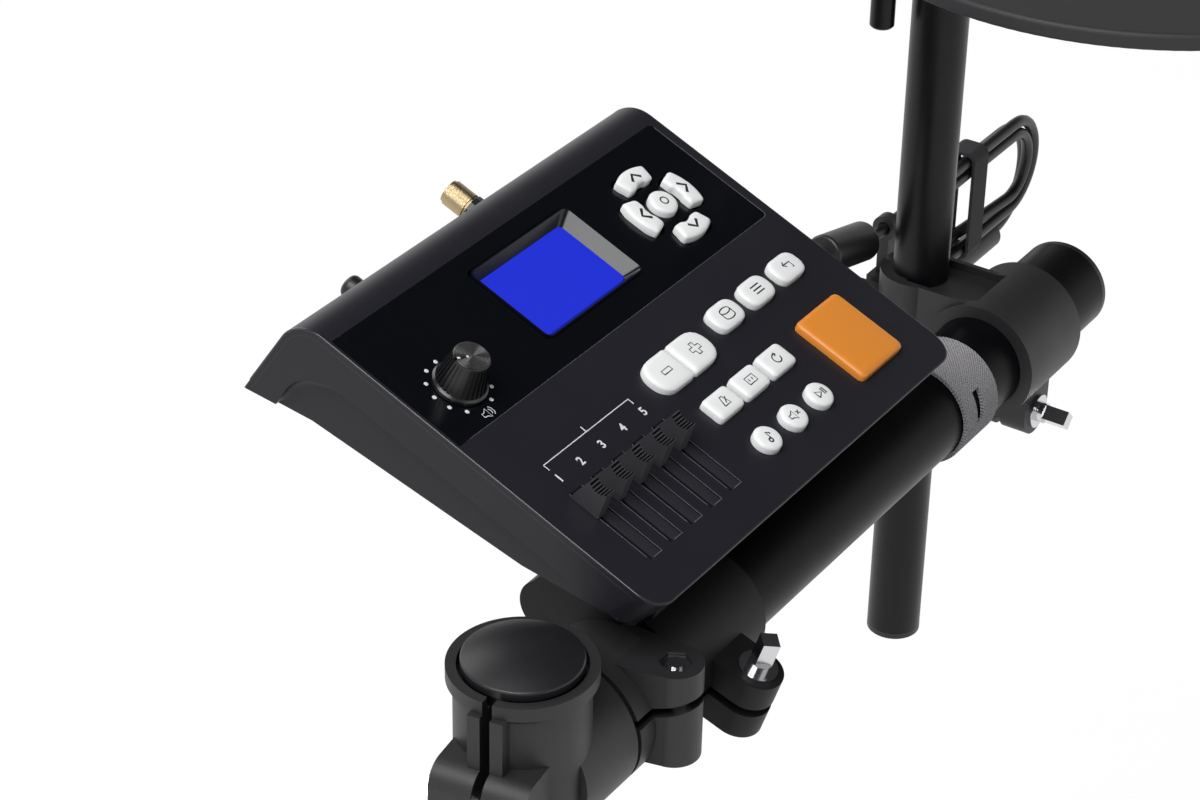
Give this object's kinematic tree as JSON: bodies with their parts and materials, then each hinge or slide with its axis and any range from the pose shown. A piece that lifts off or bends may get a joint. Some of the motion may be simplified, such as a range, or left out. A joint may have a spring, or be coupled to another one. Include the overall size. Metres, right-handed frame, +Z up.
{
  "type": "electronic drum module on rack corner",
  "caption": "Sound module of an electronic drum kit on a tube rack corner, with keys, faders, display, clamps, an arm with a rubber pad, and a tied lead.",
  "frame": {"origin": "centre of the upright tube's lower end", "axes": "+Z up the upright tube, +X along the rail away from the upright, +Y away from the drummer"},
  "size_m": [0.508, 0.2895, 0.3795],
  "materials": {
    "casing": "fine-grained moulded plastic",
    "gloss_black": "polished",
    "display_blue": "backlit display behind a smooth window",
    "board_green": "solder-masked board",
    "black_plastic": "satin moulded plastic",
    "socket_metal": "turned, nickel plated",
    "gold_plate": "gold plated, knurled",
    "white_key": "smooth moulded key",
    "orange_key": "translucent moulded key",
    "rack_plastic": "fine-grained glass-filled plastic",
    "chrome_steel": "bright plated",
    "black_steel": "satin black coating",
    "pad_black": "matte moulded rubber",
    "grey_webbing": "woven",
    "black_cord": "smooth jacket"
  },
  "bodies": {
    "rack": {"post_tube": "black_steel", "rail_tube": "black_steel", "rail_end_plug": "black_plastic", "post_plugs": "black_plastic", "corner_joint": "rack_plastic", "corner_bolts": "chrome_steel", "arm_clamp": "rack_plastic", "arm_clamp_bolts": "chrome_steel", "cable_strap": "grey_webbing", "lead": "black_cord", "lead_hank": "black_cord", "lead_choke": "black_plastic", "hank_tie": "grey_webbing", "jack_plug": "black_plastic"},
    "module": {"top_shell": "casing", "bottom_shell": "casing", "gloss_panel": "gloss_black", "lcd_bezel": "gloss_black", "lcd_screen": "display_blue", "main_board": "board_green", "panel_switches": "black_plastic", "fader_tracks": "black_plastic", "volume_pot": "socket_metal", "rear_sockets": "socket_metal", "adaptor_plug": "gold_plate", "module_port": "casing", "module_bracket": "rack_plastic", "module_clamp": "rack_plastic", "module_clamp_bolt": "chrome_steel"},
    "arm": {"arm_tube": "black_steel", "arm_end_plug": "black_plastic", "rod_holder": "black_plastic", "thumb_screw": "black_plastic"},
    "pad": {"l_rod": "black_steel", "pad_shell": "black_plastic", "pad_rubber": "pad_black"},
    "volume_knob": {"volume_knob": "black_plastic"},
    "power_button": {"power_button": "black_plastic"},
    "button_up": {"button_up": "white_key"},
    "button_down": {"button_down": "white_key"},
    "button_left": {"button_left": "white_key"},
    "button_right": {"button_right": "white_key"},
    "button_ok": {"button_ok": "white_key"},
    "button_minus": {"button_minus": "white_key"},
    "button_plus": {"button_plus": "white_key"},
    "button_kit": {"button_kit": "white_key"},
    "button_list": {"button_list": "white_key"},
    "button_return": {"button_return": "white_key"},
    "button_trigger": {"button_trigger": "orange_key"},
    "button_beat": {"button_beat": "white_key"},
    "button_practice": {"button_practice": "white_key"},
    "button_repeat": {"button_repeat": "white_key"},
    "button_song": {"button_song": "white_key"},
    "button_silence": {"button_silence": "white_key"},
    "button_play": {"button_play": "white_key"},
    "fader_cap_1": {"fader_cap_1": "black_plastic"},
    "fader_cap_2": {"fader_cap_2": "black_plastic"},
    "fader_cap_3": {"fader_cap_3": "black_plastic"},
    "fader_cap_4": {"fader_cap_4": "black_plastic"},
    "fader_cap_5": {"fader_cap_5": "black_plastic"}
  },
  "joints": [
    {"name": "module_tilt", "type": "hinge", "parent": "rack", "child": "module", "pos_m": [0.0883, 0, 0.1906], "axis": [1, 0, 0], "range_deg": [-20, 15], "deforming": ["lead"]},
    {"name": "arm_slide", "type": "slide", "parent": "rack", "child": "arm", "axis": [0, 0, 1], "range_m": [-0.03, 0.06]},
    {"name": "rod_swivel", "type": "hinge", "parent": "arm", "child": "pad", "pos_m": [0.31334, 0.05278, 0.34], "axis": [0, 0, 1], "range_deg": [-45, 45]},
    {"name": "volume_turn", "type": "hinge", "parent": "module", "child": "volume_knob", "pos_m": [0.0626, 0.06968, 0.28031], "axis": [0, -0.3875, 0.9219], "range_deg": [-150, 150]},
    {"name": "power_press", "type": "slide", "parent": "module", "child": "power_button", "axis": [0, -0.9219, -0.3875], "range_m": [0, 0.002], "stiffness_N_per_m": 900, "springref_m": -0.0005},
    {"name": "button_up_press", "type": "slide", "parent": "module", "child": "button_up", "axis": [0, 0.3875, -0.9219], "range_m": [0, 0.0015], "stiffness_N_per_m": 800, "springref_m": -0.0005},
    {"name": "button_down_press", "type": "slide", "parent": "module", "child": "button_down", "axis": [0, 0.3875, -0.9219], "range_m": [0, 0.0015], "stiffness_N_per_m": 800, "springref_m": -0.0005},
    {"name": "button_left_press", "type": "slide", "parent": "module", "child": "button_left", "axis": [0, 0.3875, -0.9219], "range_m": [0, 0.0015], "stiffness_N_per_m": 800, "springref_m": -0.0005},
    {"name": "button_right_press", "type": "slide", "parent": "module", "child": "button_right", "axis": [0, 0.3875, -0.9219], "range_m": [0, 0.0015], "stiffness_N_per_m": 800, "springref_m": -0.0005},
    {"name": "button_ok_press", "type": "slide", "parent": "module", "child": "button_ok", "axis": [0, 0.3875, -0.9219], "range_m": [0, 0.0015], "stiffness_N_per_m": 800, "springref_m": -0.0005},
    {"name": "button_minus_press", "type": "slide", "parent": "module", "child": "button_minus", "axis": [0, 0.3875, -0.9219], "range_m": [0, 0.0015], "stiffness_N_per_m": 800, "springref_m": -0.0005},
    {"name": "button_plus_press", "type": "slide", "parent": "module", "child": "button_plus", "axis": [0, 0.3875, -0.9219], "range_m": [0, 0.0015], "stiffness_N_per_m": 800, "springref_m": -0.0005},
    {"name": "button_kit_press", "type": "slide", "parent": "module", "child": "button_kit", "axis": [0, 0.3875, -0.9219], "range_m": [0, 0.0015], "stiffness_N_per_m": 800, "springref_m": -0.0005},
    {"name": "button_list_press", "type": "slide", "parent": "module", "child": "button_list", "axis": [0, 0.3875, -0.9219], "range_m": [0, 0.0015], "stiffness_N_per_m": 800, "springref_m": -0.0005},
    {"name": "button_return_press", "type": "slide", "parent": "module", "child": "button_return", "axis": [0, 0.3875, -0.9219], "range_m": [0, 0.0015], "stiffness_N_per_m": 800, "springref_m": -0.0005},
    {"name": "button_trigger_press", "type": "slide", "parent": "module", "child": "button_trigger", "axis": [0, 0.3875, -0.9219], "range_m": [0, 0.0015], "stiffness_N_per_m": 800, "springref_m": -0.0005},
    {"name": "button_beat_press", "type": "slide", "parent": "module", "child": "button_beat", "axis": [0, 0.3875, -0.9219], "range_m": [0, 0.0015], "stiffness_N_per_m": 800, "springref_m": -0.0005},
    {"name": "button_practice_press", "type": "slide", "parent": "module", "child": "button_practice", "axis": [0, 0.3875, -0.9219], "range_m": [0, 0.0015], "stiffness_N_per_m": 800, "springref_m": -0.0005},
    {"name": "button_repeat_press", "type": "slide", "parent": "module", "child": "button_repeat", "axis": [0, 0.3875, -0.9219], "range_m": [0, 0.0015], "stiffness_N_per_m": 800, "springref_m": -0.0005},
    {"name": "button_song_press", "type": "slide", "parent": "module", "child": "button_song", "axis": [0, 0.3875, -0.9219], "range_m": [0, 0.0015], "stiffness_N_per_m": 800, "springref_m": -0.0005},
    {"name": "button_silence_press", "type": "slide", "parent": "module", "child": "button_silence", "axis": [0, 0.3875, -0.9219], "range_m": [0, 0.0015], "stiffness_N_per_m": 800, "springref_m": -0.0005},
    {"name": "button_play_press", "type": "slide", "parent": "module", "child": "button_play", "axis": [0, 0.3875, -0.9219], "range_m": [0, 0.0015], "stiffness_N_per_m": 800, "springref_m": -0.0005},
    {"name": "fader_cap_1_slide", "type": "slide", "parent": "module", "child": "fader_cap_1", "axis": [0, -0.9219, -0.3875], "range_m": [0, 0.019]},
    {"name": "fader_cap_2_slide", "type": "slide", "parent": "module", "child": "fader_cap_2", "axis": [0, -0.9219, -0.3875], "range_m": [0, 0.019]},
    {"name": "fader_cap_3_slide", "type": "slide", "parent": "module", "child": "fader_cap_3", "axis": [0, -0.9219, -0.3875], "range_m": [0, 0.019]},
    {"name": "fader_cap_4_slide", "type": "slide", "parent": "module", "child": "fader_cap_4", "axis": [0, -0.9219, -0.3875], "range_m": [0, 0.019]},
    {"name": "fader_cap_5_slide", "type": "slide", "parent": "module", "child": "fader_cap_5", "axis": [0, -0.9219, -0.3875], "range_m": [0, 0.019]}
  ]
}
